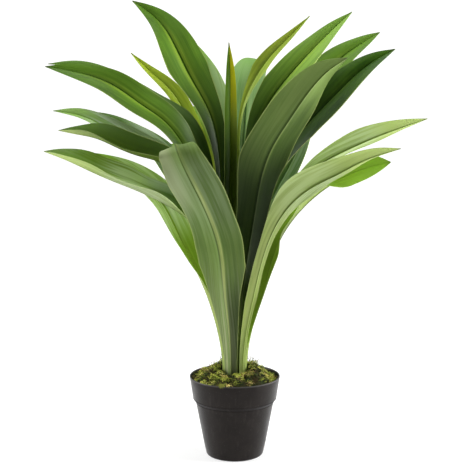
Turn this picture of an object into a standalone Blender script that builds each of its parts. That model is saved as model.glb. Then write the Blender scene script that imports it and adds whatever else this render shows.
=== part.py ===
"""A potted dracaena: strap leaves in a tight fan, moss, potting mix and a plastic nursery pot.

Metres, +Z up, the middle of the pot's underside at the origin. The front looks along +Y.
"""
import math

import bmesh
import bpy
import numpy as np

# Pot: a 13 cm nursery pot with a stepped rim band
RIM_R = 0.065
POT_H = 0.117
BASE_R = 0.0414
BAND_BOTTOM_R = 0.0603
BAND_BOTTOM_Z = 0.085
BODY_TOP_R = 0.0562
BODY_TOP_Z = 0.079
WALL = 0.002
FLOOR = 0.003
FOOT_ROUND = 0.004
LIP_ROUND = 0.0009
STEP_OUT = 0.0012
UNDERCUT_IN = 0.0004
UNDERCUT_DOWN = 0.0022
INNER_DROP = 0.002
POT_SIDES = 64
SOIL_SIDES = 48
ROUND_STEPS = 4
LIP_STEPS = 3
FOOT_END_DEG = -8
SHARP_DEG = 35

# Potting mix and moss
GAP = 0.0003
SOIL_TOP_Z = 0.100
WELL_R = 0.0212
ROOT_Z = 0.075
MOSS_R = 0.0612
MOSS_EDGE_Z = 0.112
MOSS_MOUND = 0.018
MOSS_SHOULDER = 0.034
MOSS_FRONT_DIP = 0.45
MOSS_LUMP = 0.0011
MOSS_WAVES = ((5, 95, 0.0, 1.0), (9, -140, 1.3, 1.0), (14, 260, 0.0, 0.7))
MOSS_AROUND = 48
MOSS_ACROSS = 7
MOSS_SHARP_DEG = 60

# Cane that the leaf bases wrap
CANE_R = 0.0046
CANE_TOP_Z = 0.150
CANE_ROUND = 0.002
CANE_SIDES = 20

# Leaf bases stand in four rings round the cane and fan out together as they rise
RING_R = {1: 0.0075, 2: 0.011, 3: 0.0145, 4: 0.018}
RING_SHARE = {1: 38, 2: 36, 3: 30, 4: 31}
FAN = ((ROOT_Z, 1.0), (0.110, 1.0), (0.145, 1.06), (0.190, 1.5), (0.240, 2.35))
LEAF_T = 0.001
LEAF_COLUMNS = 5
LEAF_ROWS = 18
CLASP_FOLD = 20
CLASP_END = 0.25
FACE_STARTS = 0.08
WIDENS_FROM = 0.03
TIP_FALL = 2.2
TIP_DRAWN = 0.95
TIP_W = 0.002
HALF_BOW = 0.05
CURVE_STEPS = 400
TANGENT_STEPS = 201

COLOURS = {
    "pot": ((0.028, 0.028, 0.029, 1), 0.62),
    "soil": ((0.045, 0.030, 0.020, 1), 0.95),
    "moss": ((0.150, 0.160, 0.040, 1), 0.95),
    "cane": ((0.240, 0.200, 0.110, 1), 0.80),
    "leaf": ((0.090, 0.200, 0.035, 1), 0.45),
    "leaf_young": ((0.330, 0.450, 0.070, 1), 0.45),
}


def clear_scene():
    for obj in list(bpy.data.objects):
        bpy.data.objects.remove(obj, do_unlink=True)


def material(name):
    """One plain Principled material for each kind of piece."""
    found = bpy.data.materials.get(name)
    if found:
        return found
    made = bpy.data.materials.new(name)
    made.use_nodes = True
    shader = made.node_tree.nodes["Principled BSDF"]
    colour, roughness = COLOURS[name]
    shader.inputs["Base Color"].default_value = colour
    shader.inputs["Roughness"].default_value = roughness
    shader.inputs["Metallic"].default_value = 0.0
    return made


def add_object(name, verts, faces, kind, sharp_deg=SHARP_DEG):
    """Link a closed mesh with its faces turned out."""
    mesh = bpy.data.meshes.new(name)
    mesh.from_pydata([tuple(map(float, v)) for v in verts], [], faces)
    work = bmesh.new()
    work.from_mesh(mesh)
    bmesh.ops.recalc_face_normals(work, faces=work.faces)
    work.to_mesh(mesh)
    work.free()
    mesh.shade_smooth()
    mesh.set_sharp_from_angle(angle=math.radians(sharp_deg))
    mesh.materials.append(material(kind))
    obj = bpy.data.objects.new(name, mesh)
    bpy.context.scene.collection.objects.link(obj)
    return obj


def smooth(low, high, x):
    t = np.clip((x - low) / (high - low), 0.0, 1.0)
    return t * t * (3.0 - 2.0 * t)


def arc(centre, radius, start_deg, end_deg, steps):
    """Points (r, z) round an arc in the half plane of a turned profile."""
    angles = np.radians(np.linspace(start_deg, end_deg, steps + 1))
    return [(centre[0] + radius * math.cos(a), centre[1] + radius * math.sin(a)) for a in angles]


def turned(name, profile, kind, sides=POT_SIDES):
    """Turn a closed profile of (r, z) points about Z; a point on the axis becomes one vertex."""
    verts, rings = [], []
    for r, z in profile:
        if r < 1e-9:
            rings.append([len(verts)] * sides)
            verts.append((0.0, 0.0, z))
            continue
        rings.append(list(range(len(verts), len(verts) + sides)))
        for k in range(sides):
            a = 2 * math.pi * k / sides
            verts.append((r * math.cos(a), r * math.sin(a), z))
    faces = []
    closed = profile[0][0] > 1e-9
    pairs = list(zip(rings, rings[1:])) + ([(rings[-1], rings[0])] if closed else [])
    for low, high in pairs:
        for k in range(sides):
            n = (k + 1) % sides
            face = list(dict.fromkeys([low[k], low[n], high[n], high[k]]))
            if len(face) > 2:
                faces.append(face)
    return add_object(name, verts, faces, kind)


def body_r(z):
    """Outside radius of the pot's tapered body at a height."""
    return BASE_R + (BODY_TOP_R - BASE_R) * z / BODY_TOP_Z


def band_r(z):
    """Outside radius of the rim band at a height."""
    t = (z - BAND_BOTTOM_Z) / (POT_H - BAND_BOTTOM_Z)
    return BAND_BOTTOM_R + (RIM_R - BAND_BOTTOM_R) * t


def inner_r(z):
    """Inside radius of the pot: the wall follows the body, then steps out behind the band."""
    return body_r(z) - WALL if z <= BODY_TOP_Z else band_r(z) - WALL


def make_pot():
    outside = arc((BASE_R - FOOT_ROUND, FOOT_ROUND), FOOT_ROUND, -90, FOOT_END_DEG, ROUND_STEPS)
    outside += [(BODY_TOP_R, BODY_TOP_Z), (BODY_TOP_R + STEP_OUT, BODY_TOP_Z + STEP_OUT)]
    outside += [(BAND_BOTTOM_R - UNDERCUT_IN, BAND_BOTTOM_Z - UNDERCUT_DOWN)]
    outside += [(BAND_BOTTOM_R, BAND_BOTTOM_Z)]
    outside += arc((RIM_R - LIP_ROUND, POT_H - LIP_ROUND), LIP_ROUND, 0, 90, LIP_STEPS)
    inside = [(RIM_R - WALL, POT_H - LIP_ROUND)]
    inside += [(inner_r(BAND_BOTTOM_Z), BAND_BOTTOM_Z), (inner_r(BODY_TOP_Z), BODY_TOP_Z - INNER_DROP)]
    inside += [(body_r(FLOOR) - WALL - INNER_DROP, FLOOR), (0.0, FLOOR)]
    return turned("pot", [(0.0, 0.0)] + outside + inside, "pot")


def make_soil():
    """Potting mix that fills the pot, with a plain well that the bunch of leaves stands in."""
    low = FLOOR + GAP
    well_z = ROOT_Z - GAP
    side_gap = 2 * GAP
    profile = [(0.0, low), (body_r(FLOOR) - WALL - INNER_DROP - side_gap, low)]
    profile += [(inner_r(BODY_TOP_Z) - side_gap, BODY_TOP_Z - INNER_DROP)]
    profile += [(inner_r(BAND_BOTTOM_Z) - side_gap, BAND_BOTTOM_Z + GAP)]
    profile += [(inner_r(SOIL_TOP_Z) - side_gap, SOIL_TOP_Z)]
    profile += [(WELL_R, SOIL_TOP_Z), (WELL_R, well_z), (0.0, well_z)]
    return turned("soil", profile, "soil", SOIL_SIDES)


def moss_top(r, a):
    """Height of the moss: a lumpy mound, lower in front, that falls off towards the rim."""
    front = (0.5 - 0.5 * np.sin(a)) ** 2
    height = MOSS_MOUND * (1 - MOSS_FRONT_DIP * front)
    mound = MOSS_EDGE_Z + height * smooth(0.0, MOSS_SHOULDER, MOSS_R - r)
    lump = sum(size * np.sin(turns * a + spiral * r + start) for turns, spiral, start, size in MOSS_WAVES)
    return mound + MOSS_LUMP * lump


def make_moss():
    around, across = MOSS_AROUND, MOSS_ACROSS
    radii = np.linspace(WELL_R, MOSS_R, across)
    low = SOIL_TOP_Z + GAP
    verts, faces = [], []
    for k in range(around):
        a = 2 * math.pi * k / around
        for r in radii:
            verts.append((r * math.cos(a), r * math.sin(a), moss_top(r, a)))
        for r in (inner_r(low) - 2 * GAP, WELL_R):
            verts.append((r * math.cos(a), r * math.sin(a), low))
    size = across + 2
    for k in range(around):
        a, b = k * size, ((k + 1) % around) * size
        for i in range(across - 1):
            faces += [(a + i, a + i + 1, b + i + 1), (a + i, b + i + 1, b + i)]
        for i, j in ((across - 1, across), (across, across + 1), (across + 1, 0)):
            faces.append((a + i, a + j, b + j, b + i))
    return add_object("moss", verts, faces, "moss", MOSS_SHARP_DEG)


def make_cane():
    """Short cane in the middle of the bunch, with a rounded top."""
    top = arc((CANE_R - CANE_ROUND, CANE_TOP_Z - CANE_ROUND), CANE_ROUND, 0, 90, LIP_STEPS)
    profile = [(0.0, ROOT_Z), (CANE_R, ROOT_Z)] + top + [(0.0, CANE_TOP_Z)]
    return turned("cane", profile, "cane", CANE_SIDES)


def spline(points, count):
    """Evenly spaced points along a natural cubic through the guide points."""
    p = np.array(points, float)
    t = np.concatenate([[0.0], np.cumsum(np.linalg.norm(np.diff(p, axis=0), axis=1))])
    n, h = len(p), np.diff(t)
    rows, right = np.eye(n), np.zeros((n, 3))
    for i in range(1, n - 1):
        rows[i, i - 1:i + 2] = h[i - 1], 2 * (h[i - 1] + h[i]), h[i]
        right[i] = 6 * ((p[i + 1] - p[i]) / h[i] - (p[i] - p[i - 1]) / h[i - 1])
    m = np.linalg.solve(rows, right)
    x = np.linspace(0, t[-1], CURVE_STEPS)
    i = np.clip(np.searchsorted(t, x, side="right") - 1, 0, n - 2)
    before, after, step = (x - t[i])[:, None], (t[i + 1] - x)[:, None], h[i][:, None]
    fine = (m[i] * after ** 3 + m[i + 1] * before ** 3) / (6 * step)
    fine += (p[i] / step - m[i] * step / 6) * after
    fine += (p[i + 1] / step - m[i + 1] * step / 6) * before
    run = np.concatenate([[0.0], np.cumsum(np.linalg.norm(np.diff(fine, axis=0), axis=1))])
    even = np.linspace(0, run[-1], count)
    return np.stack([np.interp(even, run, fine[:, k]) for k in range(3)], 1)


def unit(v):
    return v / np.linalg.norm(v, axis=-1, keepdims=True)


def width_share(s, neck, rise, full, taper):
    """Share of a leaf's full width along it: a neck, a long belly and a drawn-out tip."""
    belly = neck + (1 - neck) * smooth(rise, full, s)
    t = np.clip((s - taper) / (1 - taper), 0, 1)
    return belly * (1 - t ** TIP_FALL) ** TIP_DRAWN


def upper_normals(tangents, s, inward, face):
    """Upper side of the blade along the leaf: it faces the cane below, then the directions given."""
    keys = [(0.0, inward), (FACE_STARTS, inward)] + [(at, np.array(n, float)) for at, n in face]
    normals = np.zeros_like(tangents)
    for i, si in enumerate(s):
        k = max(j for j in range(len(keys)) if keys[j][0] <= si)
        after = keys[min(k + 1, len(keys) - 1)]
        part = smooth(keys[k][0], after[0], si) if after[0] > keys[k][0] else 0.0
        n = unit(keys[k][1]) * (1 - part) + unit(after[1]) * part
        normals[i] = n - n.dot(tangents[i]) * tangents[i]
    return unit(normals)


def leaf_surface(spec, rows, columns):
    """Middle surface of a leaf as a rows by columns grid, channelled along its midrib."""
    around, ring = math.radians(spec["around"]), RING_R[spec["ring"]]
    outward = np.array([math.cos(around), math.sin(around), 0.0])
    points = [tuple(spread * ring * outward[:2]) + (z,) for z, spread in FAN] + spec["path"]
    centre = spline(points, rows)
    s = np.linspace(0, 1, rows)
    fine = unit(np.gradient(spline(points, TANGENT_STEPS), axis=0))
    steps = np.linspace(0, 1, TANGENT_STEPS)
    tangents = unit(np.stack([np.interp(s, steps, fine[:, k]) for k in range(3)], 1))
    up = upper_normals(tangents, s, -outward, spec["face"])
    side = np.cross(up, tangents)
    width = spec["width"] * width_share(s, spec["neck"], spec["rise"], spec["full"], spec["taper"])
    share = math.radians(spec["share"] or RING_SHARE[spec["ring"]])
    width = np.maximum(np.minimum(width, share * np.hypot(centre[:, 0], centre[:, 1])), TIP_W)
    clasp = 1 - smooth(0.0, CLASP_END, s)
    fold = np.radians(spec["fold"] + (CLASP_FOLD - spec["fold"]) * clasp)
    grid = np.zeros((rows, columns, 3))
    for j, u in enumerate(np.linspace(-1, 1, columns)):
        bow = HALF_BOW * math.sin(math.pi * abs(u))
        grid[:, j] = centre + side * (u * width / 2 * np.cos(fold))[:, None]
        grid[:, j] += up * ((abs(u) * np.sin(fold) + bow) * width / 2)[:, None]
    return grid


def make_leaf(spec):
    """Close the leaf's surface at its thickness, split alike on both faces."""
    rows, columns = spec["rows"], LEAF_COLUMNS
    grid = leaf_surface(spec, rows, columns)
    normals = unit(np.cross(np.gradient(grid, axis=0), np.gradient(grid, axis=1)))
    upper, lower = grid + normals * LEAF_T / 2, grid - normals * LEAF_T / 2
    verts = np.concatenate([upper.reshape(-1, 3), lower.reshape(-1, 3)])
    under = rows * columns
    faces = []
    for i in range(rows - 1):
        for j in range(columns - 1):
            a = i * columns + j
            b, c, d = a + 1, a + columns + 1, a + columns
            faces += [(a, b, c), (a, c, d)]
            faces += [(under + a, under + c, under + b), (under + a, under + d, under + c)]
    last = (rows - 1) * columns
    edge = list(range(columns)) + [i * columns + columns - 1 for i in range(1, rows)]
    edge += [last + j for j in range(columns - 2, -1, -1)] + [i * columns for i in range(rows - 2, 0, -1)]
    for a, b in zip(edge, edge[1:] + edge[:1]):
        faces += [(a, a + under, b + under), (a, b + under, b)]
    return add_object(spec["name"], verts, faces, "leaf_young" if spec["young"] else "leaf")


LEAVES = []


def leaf(name, ring, around, width, path, face, share=None, rows=LEAF_ROWS, neck=0.25,
         rise=WIDENS_FROM, full=0.42, taper=0.62, fold=22, young=False):
    """Note one leaf: its place in the rings, the way it runs above them and where its top side faces."""
    LEAVES.append(dict(name=name, ring=ring, around=around, width=width, path=path, face=face,
                       share=share, rows=rows, neck=neck, rise=rise, full=full, taper=taper,
                       fold=fold, young=young))


leaf("leaf_front", ring=4, around=250, width=0.067, share=60, rows=48, neck=0.45, full=0.4,
     taper=0.78, fold=9,
     path=[(-0.024, -0.084, 0.328), (-0.040, -0.106, 0.376), (-0.058, -0.122, 0.416),
           (-0.072, -0.126, 0.447), (-0.076, -0.122, 0.457), (-0.078, -0.112, 0.461),
           (-0.078, -0.102, 0.457), (-0.077, -0.098, 0.447), (-0.075, -0.097, 0.432)],
     face=[(0.3, (0.2, 0.9, 0.2)), (0.865, (0.2, 0.95, 0.1)), (0.895, (0.2, 0.68, -0.68)),
           (0.92, (0.25, 0, -0.97)), (0.945, (0.2, -0.68, -0.68)), (0.97, (0, -0.97, 0)),
           (1, (0, -0.97, 0))])
leaf("leaf_left_inner", ring=2, around=235, width=0.058, full=0.45, taper=0.84, fold=32,
     path=[(-0.032, -0.040, 0.326), (-0.052, -0.056, 0.384), (-0.076, -0.066, 0.420),
           (-0.104, -0.074, 0.436), (-0.132, -0.076, 0.444), (-0.158, -0.074, 0.454),
           (-0.188, -0.066, 0.466), (-0.212, -0.058, 0.470), (-0.240, -0.050, 0.474)],
     face=[(0.3, (0.6, 0.6, 0.3)), (0.55, (0.3, -0.4, 0.8)), (0.8, (0.1, -0.32, 1)), (1, (0.1, -0.2, 1))])
leaf("leaf_right_front", ring=4, around=308, width=0.060, neck=0.35, rise=0.5, full=0.76, taper=0.68,
     path=[(0.046, -0.070, 0.324), (0.074, -0.096, 0.378), (0.102, -0.110, 0.404),
           (0.134, -0.120, 0.422), (0.172, -0.124, 0.442), (0.218, -0.120, 0.456)],
     face=[(0.3, (-0.6, 0.7, 0.3)), (0.6, (-0.3, 0.75, 0.6)), (1, (-0.1, 0.6, 0.8))])
leaf("leaf_right_low", ring=4, around=341, width=0.043, neck=0.4, rise=0.38, full=0.64, taper=0.88,
     fold=16,
     path=[(0.056, -0.018, 0.300), (0.072, -0.028, 0.336), (0.094, -0.036, 0.366),
           (0.132, -0.048, 0.400), (0.174, -0.058, 0.422), (0.212, -0.062, 0.432)],
     face=[(0.3, (-0.9, -0.3, 0.3)), (0.5, (-0.7, -0.6, 0.4)), (0.62, (-0.4, -0.2, 0.9)),
           (0.77, (0, 0.1, 1)), (0.87, (0, -0.8, 0.6)), (1, (0, -0.8, 0.6))])
leaf("leaf_left_low", ring=4, around=198, width=0.056, neck=0.35,
     path=[(-0.078, -0.034, 0.328), (-0.096, -0.040, 0.366), (-0.114, -0.042, 0.390),
           (-0.144, -0.042, 0.414), (-0.178, -0.038, 0.432), (-0.206, -0.034, 0.442)],
     face=[(0.3, (0.8, 0.1, 0.3)), (0.6, (0.4, -0.6, 0.7)), (1, (0.1, -0.5, 0.9))])
leaf("leaf_left_back_mid", ring=4, around=163, width=0.050,
     path=[(-0.058, 0.010, 0.338), (-0.100, 0.044, 0.424), (-0.144, 0.064, 0.458),
           (-0.190, 0.070, 0.480), (-0.230, 0.070, 0.492)],
     face=[(0.3, (0.9, -0.3, 0.3)), (0.6, (0.2, -0.5, 0.8)), (1, (0.1, -0.5, 0.9))])
leaf("leaf_back_low", ring=4, around=82, width=0.052,
     path=[(0.004, 0.100, 0.358), (0.012, 0.160, 0.412), (0.024, 0.210, 0.430), (0.038, 0.260, 0.416)],
     face=[(0.3, (0, -1, 0.2)), (1, (0, -0.3, 1))])
leaf("leaf_back_right_low", ring=4, around=40, width=0.052,
     path=[(0.044, 0.056, 0.350), (0.068, 0.100, 0.400), (0.080, 0.140, 0.404), (0.090, 0.164, 0.384)],
     face=[(0.3, (-0.6, -0.7, 0.3)), (1, (-0.1, -0.3, 1))])
leaf("leaf_back_left_low", ring=4, around=124, width=0.052,
     path=[(-0.040, 0.062, 0.348), (-0.060, 0.120, 0.408), (-0.080, 0.170, 0.428),
           (-0.110, 0.220, 0.428)],
     face=[(0.3, (0.6, -0.7, 0.3)), (1, (0.1, -0.3, 1))])
leaf("leaf_left_front", ring=3, around=220, width=0.062, full=0.45, taper=0.84, fold=32,
     path=[(-0.038, -0.042, 0.308), (-0.064, -0.050, 0.352), (-0.092, -0.062, 0.374),
           (-0.132, -0.088, 0.398), (-0.162, -0.100, 0.412), (-0.192, -0.104, 0.426),
           (-0.218, -0.104, 0.438), (-0.254, -0.096, 0.450)],
     face=[(0.3, (0.6, 0.6, 0.3)), (0.55, (0.3, -0.5, 0.8)), (0.74, (0.1, -0.38, 1)),
           (0.87, (0.1, -0.2, 1)), (1, (0.1, -0.2, 1))])
leaf("leaf_right_tall_front", ring=3, around=288, width=0.070, share=44, neck=0.4, full=0.45,
     taper=0.77,
     path=[(0.028, -0.060, 0.368), (0.048, -0.090, 0.452), (0.070, -0.102, 0.490),
           (0.098, -0.114, 0.532), (0.122, -0.120, 0.558), (0.146, -0.120, 0.574)],
     face=[(0.3, (-0.2, 1, 0.2)), (0.7, (-0.2, 0.9, 0.3)), (1, (-0.3, 0.8, 0.4))])
leaf("leaf_right_mid", ring=3, around=6, width=0.048, neck=0.35, rise=0.6, full=0.84, taper=0.74,
     path=[(0.050, -0.006, 0.322), (0.088, -0.036, 0.400), (0.120, -0.050, 0.430),
           (0.156, -0.056, 0.450), (0.208, -0.056, 0.472), (0.262, -0.050, 0.490)],
     face=[(0.3, (-0.9, 0.1, 0.2)), (0.55, (-0.4, 0.7, 0.6)), (1, (-0.1, 0.7, 0.7))])
leaf("leaf_back_right", ring=3, around=58, width=0.050,
     path=[(0.030, 0.050, 0.350), (0.052, 0.100, 0.432), (0.084, 0.150, 0.474), (0.120, 0.200, 0.482)],
     face=[(0.3, (-0.4, -0.8, 0.3)), (1, (-0.1, -0.3, 1))])
leaf("leaf_back_left", ring=3, around=106, width=0.050,
     path=[(-0.018, 0.056, 0.350), (-0.036, 0.110, 0.432), (-0.060, 0.160, 0.480),
           (-0.086, 0.210, 0.492)],
     face=[(0.3, (0.3, -0.8, 0.3)), (1, (0.1, -0.3, 1))])
leaf("leaf_left_high_back", ring=3, around=145, width=0.048,
     path=[(-0.040, 0.028, 0.386), (-0.076, 0.042, 0.474), (-0.122, 0.050, 0.502),
           (-0.180, 0.064, 0.538), (-0.230, 0.064, 0.558), (-0.268, 0.064, 0.560)],
     face=[(0.3, (0.8, -0.5, 0.3)), (0.6, (0.3, -0.7, 0.7)), (1, (0.1, -0.6, 0.8))])
leaf("leaf_left_mid", ring=3, around=182, width=0.052, full=0.5, taper=0.72, fold=20,
     path=[(-0.056, -0.008, 0.358), (-0.096, -0.018, 0.428), (-0.136, -0.020, 0.452),
           (-0.172, -0.020, 0.472), (-0.208, -0.016, 0.490), (-0.252, -0.010, 0.498)],
     face=[(0.3, (0.9, -0.1, 0.3)), (0.6, (0.3, -0.3, 0.9)), (1, (0.1, -0.5, 0.85))])
leaf("leaf_right_high", ring=2, around=345, width=0.060, full=0.5, taper=0.74, fold=16,
     path=[(0.034, -0.006, 0.342), (0.056, 0.002, 0.412), (0.088, 0.008, 0.462), (0.140, 0.014, 0.518),
           (0.184, 0.020, 0.558), (0.226, 0.030, 0.582)],
     face=[(0.3, (-0.9, -0.1, 0.2)), (0.5, (-0.6, -0.7, 0.4)), (1, (-0.3, -0.7, 0.6))])
leaf("leaf_right_inner", ring=2, around=23, width=0.052,
     path=[(0.044, 0.018, 0.348), (0.074, 0.030, 0.410), (0.096, 0.044, 0.456), (0.110, 0.060, 0.492),
           (0.124, 0.076, 0.510)],
     face=[(0.3, (-0.8, -0.5, 0.3)), (1, (-0.3, -0.9, 0.3))])
leaf("leaf_back_right_high", ring=2, around=70, width=0.052, taper=0.8, fold=14,
     path=[(0.022, 0.044, 0.358), (0.052, 0.078, 0.434), (0.096, 0.104, 0.502), (0.152, 0.130, 0.562),
           (0.218, 0.160, 0.604)],
     face=[(0.3, (-0.3, -0.9, 0.3)), (0.6, (-0.4, -0.8, 0.4)), (1, (-0.3, -0.7, 0.6))])
leaf("leaf_left_young", ring=2, around=120, width=0.030, neck=0.2, full=0.8, taper=0.75, fold=20,
     young=True,
     path=[(-0.028, 0.056, 0.378), (-0.050, 0.082, 0.438), (-0.072, 0.096, 0.486),
           (-0.096, 0.110, 0.522), (-0.126, 0.120, 0.548), (-0.154, 0.130, 0.574)],
     face=[(0.3, (0.6, -0.7, 0.3)), (0.6, (0.4, -0.75, 0.5)), (1, (0.3, -0.8, 0.5))])
leaf("leaf_left_high", ring=2, around=178, width=0.052, full=0.55, taper=0.72, fold=14,
     path=[(-0.034, 0.004, 0.358), (-0.062, 0.004, 0.430), (-0.086, 0.004, 0.470),
           (-0.104, 0.004, 0.488), (-0.130, 0.004, 0.506), (-0.172, 0.010, 0.534),
           (-0.220, 0.016, 0.550), (-0.266, 0.020, 0.558)],
     face=[(0.3, (0.9, -0.2, 0.3)), (0.55, (0.5, -0.5, 0.7)), (0.72, (0.3, -0.6, 0.7)),
           (0.85, (0.2, -0.8, 0.5)), (1, (0.2, -0.8, 0.5))])
leaf("leaf_left_tall", ring=1, around=158, width=0.070, full=0.5, taper=0.72, fold=14,
     path=[(-0.020, 0.016, 0.398), (-0.036, 0.044, 0.492), (-0.064, 0.070, 0.542),
           (-0.088, 0.090, 0.588), (-0.112, 0.110, 0.622), (-0.132, 0.116, 0.638),
           (-0.150, 0.116, 0.650)],
     face=[(0.3, (0.7, -0.6, 0.2)), (0.6, (0.4, -0.85, 0.3)), (1, (0.3, -0.8, 0.5))])
leaf("leaf_top_left", ring=1, around=112, width=0.046, full=0.5, taper=0.68,
     path=[(-0.016, 0.036, 0.418), (-0.026, 0.076, 0.502), (-0.040, 0.110, 0.550),
           (-0.060, 0.140, 0.590)],
     face=[(0.3, (0.2, -0.9, 0.3)), (0.6, (0.4, -0.85, 0.3)), (1, (0.3, -0.8, 0.5))])
leaf("leaf_top_back", ring=1, around=70, width=0.058, full=0.5, taper=0.8,
     path=[(0.010, 0.050, 0.416), (0.016, 0.104, 0.488), (0.022, 0.144, 0.536), (0.034, 0.184, 0.556),
           (0.048, 0.234, 0.558)],
     face=[(0.3, (0, -0.9, 0.3)), (0.7, (-0.1, -0.85, 0.5)), (1, (-0.1, -0.4, 0.9))])
leaf("leaf_right_tall", ring=1, around=28, width=0.055, full=0.5, taper=0.68, fold=16,
     path=[(0.020, 0.018, 0.420), (0.044, 0.040, 0.498), (0.078, 0.060, 0.544), (0.114, 0.080, 0.582),
           (0.146, 0.100, 0.612), (0.172, 0.116, 0.634)],
     face=[(0.3, (-0.7, -0.6, 0.3)), (0.6, (-0.4, -0.85, 0.3)), (1, (-0.3, -0.8, 0.5))])
leaf("leaf_top_young", ring=1, around=330, width=0.032, full=0.6, taper=0.68, young=True,
     path=[(0.006, -0.004, 0.422), (0.012, 0.0, 0.504), (0.030, 0.012, 0.544), (0.050, 0.020, 0.572),
           (0.078, 0.032, 0.600), (0.106, 0.044, 0.628)],
     face=[(0.3, (-0.8, -0.4, 0.2)), (0.55, (-0.4, -0.85, 0.4)), (1, (-0.4, -0.8, 0.5))])
leaf("leaf_spear", ring=1, around=240, width=0.019, share=100, neck=0.45, full=0.6, taper=0.8,
     fold=22, young=True,
     path=[(-0.006, -0.016, 0.424), (-0.006, -0.016, 0.500), (-0.006, -0.016, 0.540),
           (-0.008, -0.010, 0.592)],
     face=[(0.3, (0.5, 0.5, 0.2)), (0.45, (0.8, -0.5, 0.2)), (0.6, (0.2, -0.95, 0.1)),
           (1, (0.1, -0.95, 0.1))])


def main():
    clear_scene()
    make_pot()
    make_soil()
    make_moss()
    make_cane()
    for spec in LEAVES:
        make_leaf(spec)


main()
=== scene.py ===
"""The looks of the potted dracaena: fine leaves, moss, pot, floor, light and the photo's camera."""
import math
import random

import bmesh
import bpy
import numpy as np
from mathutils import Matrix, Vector


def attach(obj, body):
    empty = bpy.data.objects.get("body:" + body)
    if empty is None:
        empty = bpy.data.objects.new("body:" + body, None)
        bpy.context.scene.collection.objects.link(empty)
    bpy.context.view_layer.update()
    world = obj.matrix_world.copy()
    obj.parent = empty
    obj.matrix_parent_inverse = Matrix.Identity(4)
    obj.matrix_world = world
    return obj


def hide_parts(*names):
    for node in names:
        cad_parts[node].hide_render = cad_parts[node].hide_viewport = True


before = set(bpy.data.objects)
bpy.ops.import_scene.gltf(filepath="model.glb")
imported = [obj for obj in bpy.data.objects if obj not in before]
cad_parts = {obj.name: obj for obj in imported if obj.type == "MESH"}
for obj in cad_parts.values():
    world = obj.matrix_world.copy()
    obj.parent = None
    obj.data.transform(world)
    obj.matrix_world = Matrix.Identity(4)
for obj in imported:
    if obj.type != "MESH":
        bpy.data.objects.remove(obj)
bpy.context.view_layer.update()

# Lengths are in metres. A share along a leaf is 0 at its base and 1 at its tip. Across a leaf the
# midrib is at 0 and the edges are at -1 and 1.

# Leaf bases: the same rings and rising fan as the solids. FAN is (height, how far the rings spread).
ROOT_Z = 0.075
RING_R = {1: 0.0075, 2: 0.011, 3: 0.0145, 4: 0.018}
RING_SHARE_DEG = {1: 38, 2: 36, 3: 30, 4: 31}
FAN = ((ROOT_Z, 1.0), (0.110, 1.0), (0.145, 1.06), (0.190, 1.5), (0.240, 2.35))
CLASP_FOLD_DEG = 20
CLASP_END = 0.25
FACE_STARTS = 0.08
TIP_FALL = 2.2
TIP_DRAWN = 0.95

# Leaf blades. Ripples and swells are (size, waves along the leaf, share of the leaf's own phase).
BLADE_T = 0.0006
BLADE_ROWS = 96
BLADE_COLUMNS = 25
MIN_WIDTH = 0.0012
SPLINE_STEPS = 600
MIDRIB_CROWDING = 1.15
BOW = 0.05
RIB_SINK, RIB_SINK_WIDTH = 0.05, 0.07
RIPPLES = ((0.045, 21, 1.0), (0.025, 43, 2.0))
SWELLS = ((0.030, 15, 1.0), (0.018, 34, 1.7))
WAVES_START, WAVES_STOP = (0.35, 0.6), (0.93, 1.0)
LEAF_PHASE, HALF_PHASE = 2.4, 1.9
NOISE_SHIFT = 0.37

# Where a leaf's colours start and end, along it and across it
TIP_FADE = (0.82, 0.95)
STRIPE_STARTS, STRIPE_ENDS = (0.035, 0.08), (0.16, 0.34)
MIDRIB_ENDS = (0.015, 0.045)
# Underside: a painted shadow beside the midrib wire and a painted highlight on its lit side
RIB_SHADOW_AT, RIB_HIGHLIGHT_AT = -0.03, 0.06
RIB_HIGHLIGHT_ENDS = (0.72, 0.86)
UNDERSIDE_SHADE_ENDS = (0.78, 0.92)
LOWER_SHADE_SPREAD = 0.24
LIT_STARTS, LIT_ENDS = (0.64, 0.80), (0.92, 0.97)
ORANGE_STARTS = (0.78, 0.87)
PAINTED_SHEEN_STARTS, PAINTED_SHEEN_SPREAD = (0.54, 0.70), 0.08
# Painted rim light along the edges of a leaf
RIM_LIGHT_LINE = (0.955, 0.99)
DRY_TIP = (0.975, 1.0)

# Colours over both sides of a leaf. The first three multiply what is below them.
FURROW = (0.50, 0.58, 0.46)
# Painted shade over the underside of a leaf half that is turned from the lamps
UNDERSIDE_SHADE_TINT = (0.25, 0.30, 0.22)
# Painted shade over the lower part of a leaf, where the leaves around it shade it
LOWER_SHADE_TINT = (0.10, 0.13, 0.07)
BASE_TINT, SHADE_ONE_HALF_BASE = (0.400, 0.500, 0.110), (0.520, 0.580, 0.310)
BLUE_CAST = (0.150, 0.330, 0.150)
LIT_HALF = (0.470, 0.520, 0.290)
ORANGE = (0.660, 0.620, 0.010)
# Painted sheen: a whitish reflection of the bright surroundings
PAINTED_SHEEN_TINT = (0.760, 0.840, 0.740)
DRIED = (0.090, 0.080, 0.055)

# The upper side of full-grown leaves: two clouded colours and the palest, and the stripes
GREEN_UPPER = ((0.030, 0.095, 0.006), (0.075, 0.190, 0.010), (0.290, 0.520, 0.055))
GREEN_STRIPE = (0.360, 0.520, 0.050)

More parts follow.
